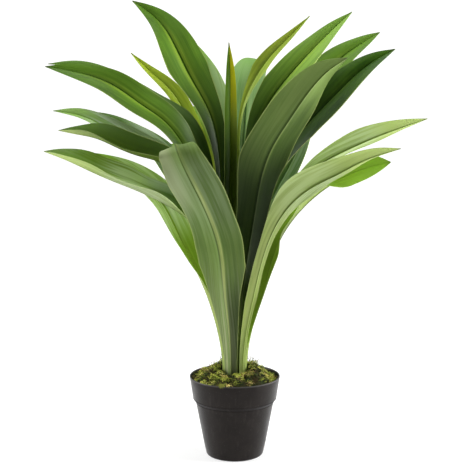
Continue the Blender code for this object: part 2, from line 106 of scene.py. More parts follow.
# What holds for a leaf where its own row doesn't say otherwise. Angles are in degrees.
# share      angle of the ring that it may fill, where that isn't its ring's own
# neck       part of the full width at the base. It grows from rise to full and shrinks from taper on.
# fold       angle of each half to the flat blade
# tone       paleness of the upper side, one value for both halves or for each half
# lime       strength of the lime stripes and of the pale streaks at the base
# pale       paleness of the underside
# sheen      painted whitish sheen, a reflection of the bright surroundings on the leaf
# blue       blue cast
# dusk  depth of the painted shade over the lower part, and dusk_end the share along the leaf where that
# ends
# warm       how orange one half is towards the tip
# dim  depth of the painted shade over the underside, one value for each half
# base_end   share along the leaf where the pale streaks of the base end
# half_deep  1 where only one half has the lower part's painted shade, and the other half gets painted
# light below the tip
PLAIN_LEAF = dict(share=None, neck=0.25, rise=0.03, full=0.42, taper=0.62, fold=22, young=False,
                  tone=0.30, lime=0.7, pale=0.30, sheen=0.0, blue=0.0, dusk=0.7, dusk_end=0.70,
                  warm=0.0, dim=(0.0, 0.0), base_end=0.56, half_deep=0.0)
# An underside that is paler than this takes the material "leaf_pale_back"
PALE_BACK_FROM = 0.9

# Pot, as the solid has it
RIM_R = 0.065
POT_H = 0.117
BASE_R = 0.0414
BAND_BOTTOM_R = 0.0603
BAND_BOTTOM_Z = 0.085
BODY_TOP_R = 0.0562
BODY_TOP_Z = 0.079
WALL = 0.002
FLOOR_T = 0.003
FOOT_ROUND = 0.004
SHOULDER_ROUND = 0.0014
BAND_ROUND = 0.0016
LIP_ROUND = 0.0009
POT_SIDES = 160

# Moss mound, as the solid has it, and the fine mat on it
WELL_R = 0.0212
MOSS_R = 0.0612
MOSS_EDGE_Z = 0.112
MOSS_UNDER_Z = 0.1003
MOSS_MOUND = 0.018
MOSS_SHOULDER = 0.034
MOSS_FRONT_DIP = 0.45
MOSS_INNER_R = WELL_R - 0.001
MAT_SIDES, MAT_RINGS = 240, 34
MAT_ROUGHNESS = 0.00055
MAT_SEED = 5
MAT_SHADE = 0.35

# Moss strands: dark, mid and bright green, yellow, brown, tan and deep green
MOSS_TINTS = ((0.085, 0.105, 0.014), (0.160, 0.190, 0.028), (0.270, 0.290, 0.050), (0.420, 0.390, 0.120),
              (0.130, 0.090, 0.030), (0.260, 0.195, 0.070), (0.055, 0.090, 0.022))
CLUMP_TINTS = ((0, 1, 1, 2), (1, 2, 2, 3), (0, 0, 1, 6), (1, 2, 3, 5), (0, 4, 5, 1))
WIRY_TINTS = (0, 4, 5, 6)
CURL_TINTS = (1, 2, 2)
STRAND_SEED = 11
CLUMPS = 95
CLUMP_STRANDS = 3000
WIRY_STRANDS = 46
CURL_STRANDS = 90
CURL_BETWEEN_DEG = (250, 256)
STRAND_POINTS = 8
STRAND_SIDES = 3
STRAND_TAPER = 0.75
STRAND_REACH = MOSS_R + 0.0008
DROOP_FROM, DROOP = RIM_R - 0.003, 0.30

# Stage, light and camera
FLOOR_R = 9.0
NEAR_GLOW, FAR_GLOW = 0.54, 0.98
GLOW_GROWS = (0.4, 4.0)
FRONT_LIGHT = 0.02
ROUND_LIGHT = 0.28
FRONT_ENDS = (-0.80, -0.05)
BACKDROP = 1.15
LIGHT_AIM = (0, 0, 0.35)
CAMERA_LENS = 101.3
CAMERA_SENSOR = 36.0
CAMERA_PLACE = (0.0004, -1.85, 0.625)
CAMERA_TILT_DEG = 80.69


def smooth(low, high, x):
    """A smooth step from 0 at low to 1 at high."""
    t = np.clip((x - low) / (high - low), 0.0, 1.0)
    return t * t * (3.0 - 2.0 * t)


def unit(v):
    """Vectors of length 1."""
    return v / np.linalg.norm(v, axis=-1, keepdims=True)


class Nodes:
    """Helpers for building a node tree. Values are numbers, colours or other nodes' outputs."""

    def __init__(self, tree):
        self.tree = tree

    def new(self, kind, **values):
        node = self.tree.nodes.new("ShaderNode" + kind)
        for key, value in values.items():
            setattr(node, key, value)
        return node

    def put(self, socket, value):
        """Link or set one socket. A tuple is a colour."""
        if isinstance(value, bpy.types.NodeSocket):
            self.tree.links.new(value, socket)
        else:
            socket.default_value = (*value, 1) if isinstance(value, tuple) else value

    def math(self, operation, a, b=0.0, c=0.0, clamp=False):
        node = self.new("Math", operation=operation, use_clamp=clamp)
        for socket, value in zip(node.inputs, (a, b, c)):
            self.put(socket, value)
        return node.outputs[0]

    def times(self, first, *others):
        """The product of all values."""
        for other in others:
            first = self.math("MULTIPLY", first, other)
        return first

    def mix(self, factor, a, b, blend="MIX"):
        node = self.new("Mix", data_type="RGBA", blend_type=blend)
        self.put(node.inputs[0], factor)
        self.put(node.inputs[6], a)
        self.put(node.inputs[7], b)
        return node.outputs[2]

    def ease(self, value, low, high, start=0.0, end=1.0):
        """A smooth step from start, where the value is low, to end, where it is high."""
        node = self.new("MapRange", interpolation_type="SMOOTHSTEP")
        for socket, v in zip(node.inputs[:5], (value, low, high, start, end)):
            self.put(socket, v)
        return node.outputs[0]

    def fall(self, value, low, high):
        """A smooth step from 1 to 0."""
        return self.ease(value, low, high, 1.0, 0.0)

    def vector(self, x, y, z):
        node = self.new("CombineXYZ")
        for socket, value in zip(node.inputs, (x, y, z)):
            self.put(socket, value)
        return node.outputs[0]

    def split(self, vector):
        node = self.new("SeparateXYZ")
        self.put(node.inputs[0], vector)
        return node.outputs

    def noise(self, vector, scale, detail=3.0, rough=0.5):
        node = self.new("TexNoise")
        self.put(node.inputs["Vector"], vector)
        node.inputs["Scale"].default_value = scale
        node.inputs["Detail"].default_value = detail
        node.inputs["Roughness"].default_value = rough
        return node.outputs["Fac"]

    def bump(self, height, strength, distance):
        node = self.new("Bump")
        node.inputs["Strength"].default_value = strength
        node.inputs["Distance"].default_value = distance
        self.put(node.inputs["Height"], height)
        return node.outputs["Normal"]

    def attribute(self, name):
        return self.new("Attribute", attribute_name=name).outputs["Vector"]


class Material(Nodes):
    """A new material's tree."""

    def __init__(self, name):
        self.mat = bpy.data.materials.new(name)
        self.mat.use_nodes = True
        super().__init__(self.mat.node_tree)
        self.shader = self.tree.nodes["Principled BSDF"]
        self.out = self.tree.nodes["Material Output"]

    def feed(self, name, value):
        """Link or set one input of the main shader."""
        self.put(self.shader.inputs[name], value)

    def object_place(self):
        return self.new("TexCoord").outputs["Object"]


def add_object(name, data):
    """A new object in the scene."""
    obj = bpy.data.objects.new(name, data)
    bpy.context.scene.collection.objects.link(obj)
    return obj


def mesh_object(name, verts, faces, material, smooth_deg):
    """A smooth-shaded object whose edges above an angle stay sharp."""
    mesh = bpy.data.meshes.new(name)
    mesh.from_pydata(np.asarray(verts, float).tolist(), [], faces)
    work = bmesh.new()
    work.from_mesh(mesh)
    bmesh.ops.recalc_face_normals(work, faces=work.faces)
    work.to_mesh(mesh)
    work.free()
    mesh.shade_smooth()
    mesh.set_sharp_from_angle(angle=math.radians(smooth_deg))
    mesh.materials.append(material)
    return add_object(name, mesh)


def set_vectors(obj, name, values):
    """Give each point of a mesh a vector that its shader can read."""
    data = obj.data.attributes.new(name, "FLOAT_VECTOR", "POINT").data
    data.foreach_set("vector", np.asarray(values, np.float32).ravel())


# Leaves


def spline(points, count):
    """Evenly spaced points along a natural cubic through the guide points, and its length."""
    p = np.array(points, float)
    t = np.concatenate([[0.0], np.cumsum(np.linalg.norm(np.diff(p, axis=0), axis=1))])
    n, h = len(p), np.diff(t)
    rows, right = np.eye(n), np.zeros((n, 3))
    for i in range(1, n - 1):
        rows[i, i - 1:i + 2] = h[i - 1], 2 * (h[i - 1] + h[i]), h[i]
        right[i] = 6 * ((p[i + 1] - p[i]) / h[i] - (p[i] - p[i - 1]) / h[i - 1])
    m = np.linalg.solve(rows, right)
    x = np.linspace(0, t[-1], SPLINE_STEPS)
    i = np.clip(np.searchsorted(t, x, side="right") - 1, 0, n - 2)
    before, after, step = (x - t[i])[:, None], (t[i + 1] - x)[:, None], h[i][:, None]
    fine = (m[i] * after ** 3 + m[i + 1] * before ** 3) / (6 * step)
    fine += (p[i] / step - m[i] * step / 6) * after
    fine += (p[i + 1] / step - m[i + 1] * step / 6) * before
    run = np.concatenate([[0.0], np.cumsum(np.linalg.norm(np.diff(fine, axis=0), axis=1))])
    even = np.linspace(0, run[-1], count)
    return np.stack([np.interp(even, run, fine[:, k]) for k in range(3)], 1), run[-1]


def blade_width(spec, s, reach):
    """Widths along a leaf, held within its share of the ring around the plant's axis."""
    belly = spec["neck"] + (1 - spec["neck"]) * smooth(spec["rise"], spec["full"], s)
    t = np.clip((s - spec["taper"]) / (1 - spec["taper"]), 0, 1)
    width = spec["width"] * (belly * (1 - t ** TIP_FALL) ** TIP_DRAWN)
    share = math.radians(spec["share"] or RING_SHARE_DEG[spec["ring"]])
    return np.maximum(np.minimum(width, share * reach), MIN_WIDTH)


def upper_normals(tangents, s, inward, face):
    """Where the upper side faces along the leaf: inward at the base, then as its row says."""
    keys = [(0.0, inward), (FACE_STARTS, inward)] + [(at, np.array(n, float)) for at, n in face]
    normals = np.zeros_like(tangents)
    for i, si in enumerate(s):
        k = max(j for j in range(len(keys)) if keys[j][0] <= si)
        after = keys[min(k + 1, len(keys) - 1)]
        part = smooth(keys[k][0], after[0], si) if after[0] > keys[k][0] else 0.0
        n = unit(keys[k][1]) * (1 - part) + unit(after[1]) * part
        normals[i] = n - n.dot(tangents[i]) * tangents[i]
    return unit(normals)


def waves(parts, s, phase):
    """A sum of sine waves along the leaf."""
    return sum(size * np.sin(s * count + turn * phase) for size, count, turn in parts)


def blade_grid(spec, s, across, centre, up, side, width):
    """Points of the blade's middle surface: two folded halves, a sunk midrib, rippled edges."""
    clasp = 1 - smooth(0.0, CLASP_END, s)
    fold = np.radians(spec["fold"] + (CLASP_FOLD_DEG - spec["fold"]) * clasp)
    free = smooth(*WAVES_START, s) * (1 - smooth(*WAVES_STOP, s))
    grid = np.zeros((len(s), len(across), 3))
    for j, u in enumerate(across):
        bow = BOW * math.sin(math.pi * abs(u)) - RIB_SINK * math.exp(-(u / RIB_SINK_WIDTH) ** 2)
        phase = spec["seed"] * LEAF_PHASE + HALF_PHASE * np.sign(u)
        ripple = free * abs(u) ** 2 * waves(RIPPLES, s, phase)
        swell = 1 + free * waves(SWELLS, s, phase)
        grid[:, j] = centre + side * (u * width / 2 * swell * np.cos(fold))[:, None]
        grid[:, j] += up * ((abs(u) * np.sin(fold) + bow + ripple) * width / 2)[:, None]
    return grid


def blade_faces(rows, columns):
    """Faces of the upper side, of the lower side and of the thin edge between them."""
    under = rows * columns
    faces = []
    for i in range(rows - 1):
        for j in range(columns - 1):
            a = i * columns + j
            b, c, d = a + 1, a + columns + 1, a + columns
            faces += [(a, b, c, d), (under + a, under + d, under + c, under + b)]
    last = (rows - 1) * columns
    edge = list(range(columns)) + [i * columns + columns - 1 for i in range(1, rows)]
    edge += [last + j for j in range(columns - 2, -1, -1)]
    edge += [i * columns for i in range(rows - 2, 0, -1)]
    for a, b in zip(edge, edge[1:] + edge[:1]):
        faces.append((a, a + under, b + under, b))
    return faces


def paint_leaf(obj, spec, s, across, width, length):
    """Write what LeafMaterial reads, for the upper side's points and then for the lower side's."""
    u = np.tile(across, 2 * len(s))
    along = np.tile(np.repeat(s, len(across)), 2)
    half_width = np.tile(np.repeat(width / 2, len(across)), 2)
    top = np.repeat((1.0, 0.0), len(s) * len(across))
    vectors = {
        "place": (u, along, spec["half_deep"]),
        "run": (half_width * u, along * length, spec["seed"] * NOISE_SHIFT),
        "look": (np.where(u < 0, *np.broadcast_to(spec["tone"], 2)), spec["lime"], top),
        "cast": (spec["pale"], spec["sheen"], spec["blue"]),
        "shade": (spec["dusk"], spec["dusk_end"], spec["warm"]),
        "dim": (np.where(u < 0, *spec["dim"]), spec["base_end"], 0.0),
    }
    for name, values in vectors.items():
        set_vectors(obj, name, np.stack([np.broadcast_to(value, u.shape) for value in values], 1))


def make_leaf(spec, materials):
    """A fine blade: channelled, with a sunk midrib, slightly rippled edges and a drawn-out tip."""
    around, ring = math.radians(spec["around"]), RING_R[spec["ring"]]
    outward = np.array([math.cos(around), math.sin(around), 0.0])
    points = [tuple(spread * ring * outward[:2]) + (z,) for z, spread in FAN] + spec["path"]
    centre, length = spline(points, BLADE_ROWS)
    s, even = np.linspace(0, 1, BLADE_ROWS), np.linspace(-1, 1, BLADE_COLUMNS)
    across = np.sign(even) * np.abs(even) ** MIDRIB_CROWDING
    tangents = unit(np.gradient(centre, axis=0))
    up = upper_normals(tangents, s, -outward, spec["face"])
    width = blade_width(spec, s, np.hypot(centre[:, 0], centre[:, 1]))
    grid = blade_grid(spec, s, across, centre, up, np.cross(up, tangents), width)
    normals = unit(np.cross(np.gradient(grid, axis=0), np.gradient(grid, axis=1)))
    row, column = BLADE_ROWS // 2, BLADE_COLUMNS // 2
    if (normals[row, column] * up[row]).sum() < 0:
        normals = -normals
    verts = np.concatenate([(grid + normals * BLADE_T / 2).reshape(-1, 3),
                            (grid - normals * BLADE_T / 2).reshape(-1, 3)])
    back = "leaf_pale" if spec["pale"] > PALE_BACK_FROM else "leaf"
    material = materials["leaf_young" if spec["young"] else back]
    obj = mesh_object(spec["name"] + "_blade", verts, blade_faces(*grid.shape[:2]), material, 60)
    paint_leaf(obj, spec, s, across, width, length)
    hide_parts(spec["name"])
    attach(obj, "root")


class LeafMaterial(Material):
    """A leaf's material, with the values that paint_leaf wrote and the leaf's grain."""

    def __init__(self, name):
        super().__init__(name)
        self.u, self.s, self.half_deep = self.split(self.attribute("place"))
        self.across_m, self.along_m, self.shift = self.split(self.attribute("run"))
        self.tone, self.lime, self.top = self.split(self.attribute("look"))
        self.pale, self.sheen, self.blue = self.split(self.attribute("cast"))
        self.dusk, self.dusk_end, self.warm = self.split(self.attribute("shade"))
        self.dim, self.base_end, _ = self.split(self.attribute("dim"))
        self.off = self.math("ABSOLUTE", self.u)
        self.fade = self.fall(self.s, *TIP_FADE)
        self.veins = self.grain(900.0, 5.0, 2.0)
        self.cloud = self.grain(60.0, 14.0, 3.0)
        self.cross = self.grain(200.0, 420.0, 2.0)
        self.streak = self.grain(420.0, 3.0, 2.0)
        self.furrow = self.grain(260.0, 8.0, 3.0)
        # Painted shadow beside the midrib on the underside
        self.rib_shadow = self.line(RIB_SHADOW_AT, 0.015, self.math("MULTIPLY_ADD", self.pale, 0.04, 0.04))

    def grain(self, across, along, detail):
        """Noise with so much grain per metre across and along the blade."""
        x, y = self.times(self.across_m, across), self.times(self.along_m, along)
        return self.noise(self.vector(x, y, self.shift), 1.0, detail)

    def line(self, at, core, end):
        """A soft line along the leaf, at a place across it."""
        return self.fall(self.math("ABSOLUTE", self.math("SUBTRACT", self.u, at)), core, end)


def upper_side(n, upper, stripe):
    """Clouded green with fine veins, lime stripes beside the midrib and a dark midrib."""
    colour = n.mix(n.ease(n.cloud, 0.3, 0.7), upper[0], upper[1])
    colour = n.mix(n.tone, colour, upper[2])
    veins = n.times(n.math("MULTIPLY_ADD", n.tone, 0.24, 0.08, clamp=True), n.fade)
    colour = n.mix(n.times(n.ease(n.veins, 0.3, 0.7), veins), colour, stripe)
    stripes = n.times(n.ease(n.off, *STRIPE_STARTS), n.fall(n.off, *STRIPE_ENDS))
    stripes = n.times(stripes, n.ease(n.streak, 0.35, 0.6, 0.35, 1.0), n.lime, n.fade)
    colour = n.mix(stripes, colour, stripe)
    midrib = n.times(n.fall(n.off, *MIDRIB_ENDS), n.fade, 0.85)
    return n.mix(midrib, colour, upper[0])


def underside(n, under, under_rib):
    """Duller and paler, with fine veins, a painted highlight and a painted shadow beside the midrib, and
    painted shade over a half.
    """
    colour = n.mix(n.ease(n.cloud, 0.3, 0.7), under[0], under[1])
    colour = n.mix(n.pale, colour, under[3])
    colour = n.mix(n.times(n.ease(n.veins, 0.35, 0.7), 0.35), colour, under[2])
    # Painted highlight along the lit side of the midrib wire on the underside
    rib_highlight = n.line(RIB_HIGHLIGHT_AT, 0.02, n.math("MULTIPLY_ADD", n.lime, 0.07, 0.03))
    rib_highlight = n.times(rib_highlight, n.ease(n.s, *RIB_HIGHLIGHT_ENDS, 0.75, 0.20))
    colour = n.mix(rib_highlight, colour, under_rib[1])
    colour = n.mix(n.times(n.rib_shadow, 0.8), colour, under_rib[0])
    # Painted shade over the underside of a half that is turned from the lamps
    return n.mix(n.times(n.dim, n.fall(n.s, *UNDERSIDE_SHADE_ENDS)), colour, UNDERSIDE_SHADE_TINT, "MULTIPLY")


def shaded(n, colour):
    """Furrows, pale streaks at the base, the blue cast and painted shade over the lower part."""
    furrow = n.times(n.ease(n.furrow, 0.36, 0.58, 0.55, 0.0), n.fade)
    colour = n.mix(furrow, colour, FURROW, "MULTIPLY")
    streaks = n.ease(n.streak, 0.38, 0.62, 0.15, 1.0)
    base = n.times(n.ease(n.s, 0.10, n.base_end, 0.85, 0.0), streaks, n.lime)
    colour = n.mix(base, colour, n.mix(n.half_deep, BASE_TINT, SHADE_ONE_HALF_BASE))
    colour = n.mix(n.times(n.blue, 0.55), colour, BLUE_CAST)
    # Painted shade over the lower part, kept off one half of some leaves
    deep = n.fall(n.s, n.math("SUBTRACT", n.dusk_end, LOWER_SHADE_SPREAD), n.dusk_end)
    deep = n.times(deep, n.dusk, n.ease(n.s, 0.16, 0.34, n.half_deep, 1.0))
    unshaded_half = n.times(n.half_deep, n.fall(n.u, 0.10, 0.22))
    deep = n.times(deep, n.math("SUBTRACT", 1.0, unshaded_half))
    return n.mix(deep, colour, LOWER_SHADE_TINT, "MULTIPLY")


def finished(n, colour, rim_light_colour):
    """Painted light on one half, the orange half, a painted whitish sheen, painted rim light on the
    edges and the dry tip.
    """
    # Painted light on one half of a leaf below its tip
    lit = n.times(n.half_deep, n.ease(n.u, -0.75, -0.08, 0.60, 0.0))
    lit = n.times(lit, n.ease(n.s, *LIT_STARTS), n.fall(n.s, *LIT_ENDS))
    colour = n.mix(lit, colour, LIT_HALF)
    orange = n.times(n.warm, n.fall(n.u, -0.12, 0.02), n.ease(n.s, *ORANGE_STARTS))
    colour = n.mix(orange, colour, ORANGE)
    # Painted sheen: whitish reflection streaks, kept off the painted shadow beside the rib
    painted_sheen = n.times(n.sheen, n.ease(n.furrow, 0.34, 0.60, 0.2, 0.9), n.ease(n.s, *PAINTED_SHEEN_STARTS))
    painted_sheen = n.times(painted_sheen, n.math("MULTIPLY_ADD", n.top, 0.5, 0.5), n.math("SUBTRACT", 1.0, n.rib_shadow))
    painted_sheen_end = n.math("MULTIPLY_ADD", n.tone, 0.10, 0.78)
    painted_sheen = n.times(painted_sheen, n.ease(n.s, painted_sheen_end, n.math("ADD", painted_sheen_end, PAINTED_SHEEN_SPREAD), 1.0, 0.15))
    colour = n.mix(painted_sheen, colour, PAINTED_SHEEN_TINT)
    # Painted rim light: a pale line along the edges
    colour = n.mix(n.times(n.ease(n.off, *RIM_LIGHT_LINE), 0.5, n.fade), colour, rim_light_colour)
    return n.mix(n.times(n.ease(n.s, *DRY_TIP), 0.45), colour, DRIED)


def leaf_material(name, upper, stripe, under, under_rib, glow, through_share):
    """A strap leaf that lets a share of light through. upper holds two clouded colours and the palest,
    under two clouded colours, the veins and the palest, under_rib the painted shadow beside the rib and
    the painted highlight on it, whose colour also paints the rim light on the edges."""
    n = LeafMaterial(name)
    colour = n.mix(n.top, underside(n, under, under_rib), upper_side(n, upper, stripe))
    colour = finished(n, shaded(n, colour), under_rib[1])
    height = n.math("ADD", n.times(n.veins, 0.7), n.times(n.cross, 0.3))
    normal = n.bump(height, 0.35, 0.0006)
    rough = n.math("ADD", n.times(n.top, -0.12), n.ease(n.cloud, 0.2, 0.8, 0.50, 0.60))
    n.feed("Base Color", colour)
    n.feed("Roughness", rough)
    n.feed("Normal", normal)
    n.shader.inputs["Specular IOR Level"].default_value = 0.18
    through = n.new("BsdfTranslucent")
    n.put(through.inputs["Color"], n.mix(0.5, colour, glow))
    n.put(through.inputs["Normal"], normal)
    mixed = n.new("MixShader")
    mixed.inputs[0].default_value = through_share
    n.put(mixed.inputs[1], n.shader.outputs[0])
    n.put(mixed.inputs[2], through.outputs[0])
    n.put(n.out.inputs["Surface"], mixed.outputs[0])
    return n.mat


LEAVES = []


def leaf(name, **row):
    """Note one leaf: its ring, the angle around it, its width, its path above the fan, where its upper
    side faces at shares along it, and what isn't plain."""
    assert set(row) <= {*PLAIN_LEAF, "ring", "around", "width", "path", "face"}, name
    LEAVES.append({**PLAIN_LEAF, **row, "name": name, "seed": len(LEAVES) + 1})


leaf("leaf_front", ring=4, around=250, width=0.067, share=60, neck=0.45, full=0.4, taper=0.78, fold=9,
     lime=0.9, pale=0.20, sheen=0.20, dusk=0.75, dusk_end=0.50, dim=(0.0, 0.28), half_deep=1.0,
     path=[(-0.024, -0.084, 0.328), (-0.040, -0.106, 0.376), (-0.058, -0.122, 0.416),
           (-0.072, -0.126, 0.447), (-0.076, -0.122, 0.457), (-0.078, -0.112, 0.461),
           (-0.078, -0.102, 0.457), (-0.077, -0.098, 0.447), (-0.075, -0.097, 0.432)],
     face=[(0.3, (0.2, 0.9, 0.2)), (0.865, (0.2, 0.95, 0.1)), (0.895, (0.2, 0.68, -0.68)),
           (0.92, (0.25, 0, -0.97)), (0.945, (0.2, -0.68, -0.68)), (0.97, (0, -0.97, 0)),
           (1, (0, -0.97, 0))])
leaf("leaf_left_inner", ring=2, around=235, width=0.058, full=0.45, taper=0.84, fold=32,
     tone=0.05, lime=0.3, pale=1.0, dusk=0.8, dusk_end=1.06,
     path=[(-0.032, -0.040, 0.326), (-0.052, -0.056, 0.384), (-0.076, -0.066, 0.420),
           (-0.104, -0.074, 0.436), (-0.132, -0.076, 0.444), (-0.158, -0.074, 0.454),
           (-0.188, -0.066, 0.466), (-0.212, -0.058, 0.470), (-0.240, -0.050, 0.474)],
     face=[(0.3, (0.6, 0.6, 0.3)), (0.55, (0.3, -0.4, 0.8)), (0.8, (0.1, -0.32, 1)),
           (1, (0.1, -0.2, 1))])
leaf("leaf_right_front", ring=4, around=308, width=0.060, neck=0.35, rise=0.5, full=0.76, taper=0.68,
     tone=0.05, lime=0.9, pale=0.95, sheen=0.6, dusk=0.0, dusk_end=0.5, dim=(0.0, 0.5),
     path=[(0.046, -0.070, 0.324), (0.074, -0.096, 0.378), (0.102, -0.110, 0.404),
           (0.134, -0.120, 0.422), (0.172, -0.124, 0.442), (0.218, -0.120, 0.456)],
     face=[(0.3, (-0.6, 0.7, 0.3)), (0.6, (-0.3, 0.75, 0.6)), (1, (-0.1, 0.6, 0.8))])
leaf("leaf_right_low", ring=4, around=341, width=0.043, neck=0.4, rise=0.38, full=0.64, taper=0.88,
     fold=16, tone=1.0, lime=0.9, pale=0.92, dusk=0.90, dusk_end=0.76,
     path=[(0.056, -0.018, 0.300), (0.072, -0.028, 0.336), (0.094, -0.036, 0.366),
           (0.132, -0.048, 0.400), (0.174, -0.058, 0.422), (0.212, -0.062, 0.432)],
     face=[(0.3, (-0.9, -0.3, 0.3)), (0.5, (-0.7, -0.6, 0.4)), (0.62, (-0.4, -0.2, 0.9)),
           (0.77, (0, 0.1, 1)), (0.87, (0, -0.8, 0.6)), (1, (0, -0.8, 0.6))])
leaf("leaf_left_low", ring=4, around=198, width=0.056, neck=0.35,
     tone=0.9, lime=1.0, pale=0.95, sheen=1.0, dusk=0.12, dusk_end=0.76, base_end=0.86,
     path=[(-0.078, -0.034, 0.328), (-0.096, -0.040, 0.366), (-0.114, -0.042, 0.390),
           (-0.144, -0.042, 0.414), (-0.178, -0.038, 0.432), (-0.206, -0.034, 0.442)],
     face=[(0.3, (0.8, 0.1, 0.3)), (0.6, (0.4, -0.6, 0.7)), (1, (0.1, -0.5, 0.9))])
leaf("leaf_left_back_mid", ring=4, around=163, width=0.050,
     pale=0.40, sheen=0.5, blue=0.2, dusk_end=0.68,
     path=[(-0.058, 0.010, 0.338), (-0.100, 0.044, 0.424), (-0.144, 0.064, 0.458),
           (-0.190, 0.070, 0.480), (-0.230, 0.070, 0.492)],
     face=[(0.3, (0.9, -0.3, 0.3)), (0.6, (0.2, -0.5, 0.8)), (1, (0.1, -0.5, 0.9))])
leaf("leaf_back_low", ring=4, around=82, width=0.052,
     path=[(0.004, 0.100, 0.358), (0.012, 0.160, 0.412), (0.024, 0.210, 0.430), (0.038, 0.260, 0.416)],
     face=[(0.3, (0, -1, 0.2)), (1, (0, -0.3, 1))])
leaf("leaf_back_right_low", ring=4, around=40, width=0.052,
     path=[(0.044, 0.056, 0.350), (0.068, 0.100, 0.400), (0.080, 0.140, 0.404), (0.090, 0.164, 0.384)],
     face=[(0.3, (-0.6, -0.7, 0.3)), (1, (-0.1, -0.3, 1))])
leaf("leaf_back_left_low", ring=4, around=124, width=0.052,
     path=[(-0.040, 0.062, 0.348), (-0.060, 0.120, 0.408), (-0.080, 0.170, 0.428),
           (-0.110, 0.220, 0.428)],
     face=[(0.3, (0.6, -0.7, 0.3)), (1, (0.1, -0.3, 1))])
leaf("leaf_left_front", ring=3, around=220, width=0.062, full=0.45, taper=0.84, fold=32,
     tone=0.15, pale=0.92, sheen=0.9, dusk=0.5, dusk_end=0.56, dim=(0.35, 0.35),
     path=[(-0.038, -0.042, 0.308), (-0.064, -0.050, 0.352), (-0.092, -0.062, 0.374),
           (-0.132, -0.088, 0.398), (-0.162, -0.100, 0.412), (-0.192, -0.104, 0.426),
           (-0.218, -0.104, 0.438), (-0.254, -0.096, 0.450)],
     face=[(0.3, (0.6, 0.6, 0.3)), (0.55, (0.3, -0.5, 0.8)), (0.74, (0.1, -0.38, 1)),
           (0.87, (0.1, -0.2, 1)), (1, (0.1, -0.2, 1))])
leaf("leaf_right_tall_front", ring=3, around=288, width=0.070, share=44, neck=0.4, full=0.45,
     taper=0.77, tone=0.4, lime=0.25, dusk=0.94, dusk_end=0.81, dim=(0.0, 0.75),
     path=[(0.028, -0.060, 0.368), (0.048, -0.090, 0.452), (0.070, -0.102, 0.490),
           (0.098, -0.114, 0.532), (0.122, -0.120, 0.558), (0.146, -0.120, 0.574)],
     face=[(0.3, (-0.2, 1, 0.2)), (0.7, (-0.2, 0.9, 0.3)), (1, (-0.3, 0.8, 0.4))])
leaf("leaf_right_mid", ring=3, around=6, width=0.048, neck=0.35, rise=0.6, full=0.84, taper=0.74,
     tone=0.5, lime=0.9, pale=1.0, sheen=1.0, dusk=0.5, dusk_end=0.55,
     path=[(0.050, -0.006, 0.322), (0.088, -0.036, 0.400), (0.120, -0.050, 0.430),
           (0.156, -0.056, 0.450), (0.208, -0.056, 0.472), (0.262, -0.050, 0.490)],
     face=[(0.3, (-0.9, 0.1, 0.2)), (0.55, (-0.4, 0.7, 0.6)), (1, (-0.1, 0.7, 0.7))])
leaf("leaf_back_right", ring=3, around=58, width=0.050,
     path=[(0.030, 0.050, 0.350), (0.052, 0.100, 0.432), (0.084, 0.150, 0.474), (0.120, 0.200, 0.482)],
     face=[(0.3, (-0.4, -0.8, 0.3)), (1, (-0.1, -0.3, 1))])
leaf("leaf_back_left", ring=3, around=106, width=0.050,
     path=[(-0.018, 0.056, 0.350), (-0.036, 0.110, 0.432), (-0.060, 0.160, 0.480),
           (-0.086, 0.210, 0.492)],
     face=[(0.3, (0.3, -0.8, 0.3)), (1, (0.1, -0.3, 1))])
leaf("leaf_left_high_back", ring=3, around=145, width=0.048,
     tone=0.4, lime=0.5, sheen=0.1, blue=0.2, dusk=0.9, dusk_end=0.76,
     path=[(-0.040, 0.028, 0.386), (-0.076, 0.042, 0.474), (-0.122, 0.050, 0.502),
           (-0.180, 0.064, 0.538), (-0.230, 0.064, 0.558), (-0.268, 0.064, 0.560)],
     face=[(0.3, (0.8, -0.5, 0.3)), (0.6, (0.3, -0.7, 0.7)), (1, (0.1, -0.6, 0.8))])
leaf("leaf_left_mid", ring=3, around=182, width=0.052, full=0.5, taper=0.72, fold=20,
     tone=0.8, lime=0.5, pale=0.85, sheen=0.6, blue=0.2, dusk=0.8, dusk_end=0.66,
     path=[(-0.056, -0.008, 0.358), (-0.096, -0.018, 0.428), (-0.136, -0.020, 0.452),
           (-0.172, -0.020, 0.472), (-0.208, -0.016, 0.490), (-0.252, -0.010, 0.498)],
     face=[(0.3, (0.9, -0.1, 0.3)), (0.6, (0.3, -0.3, 0.9)), (1, (0.1, -0.5, 0.85))])
leaf("leaf_right_high", ring=2, around=345, width=0.060, full=0.5, taper=0.74, fold=16,
     tone=0.0, lime=0.12, dusk=0.78, dusk_end=1.00,
     path=[(0.034, -0.006, 0.342), (0.056, 0.002, 0.412), (0.088, 0.008, 0.462), (0.140, 0.014, 0.518),
           (0.184, 0.020, 0.558), (0.226, 0.030, 0.582)],
     face=[(0.3, (-0.9, -0.1, 0.2)), (0.5, (-0.6, -0.7, 0.4)), (1, (-0.3, -0.7, 0.6))])
leaf("leaf_right_inner", ring=2, around=23, width=0.052,
     tone=0.6, lime=0.6, pale=0.4, sheen=0.3, blue=0.7, dusk=0.8, dusk_end=0.72,
     path=[(0.044, 0.018, 0.348), (0.074, 0.030, 0.410), (0.096, 0.044, 0.456), (0.110, 0.060, 0.492),
           (0.124, 0.076, 0.510)],
     face=[(0.3, (-0.8, -0.5, 0.3)), (1, (-0.3, -0.9, 0.3))])
leaf("leaf_back_right_high", ring=2, around=70, width=0.052, taper=0.8, fold=14,
     lime=0.5, pale=0.4, dusk=0.8, dusk_end=0.76,
     path=[(0.022, 0.044, 0.358), (0.052, 0.078, 0.434), (0.096, 0.104, 0.502), (0.152, 0.130, 0.562),
           (0.218, 0.160, 0.604)],
     face=[(0.3, (-0.3, -0.9, 0.3)), (0.6, (-0.4, -0.8, 0.4)), (1, (-0.3, -0.7, 0.6))])
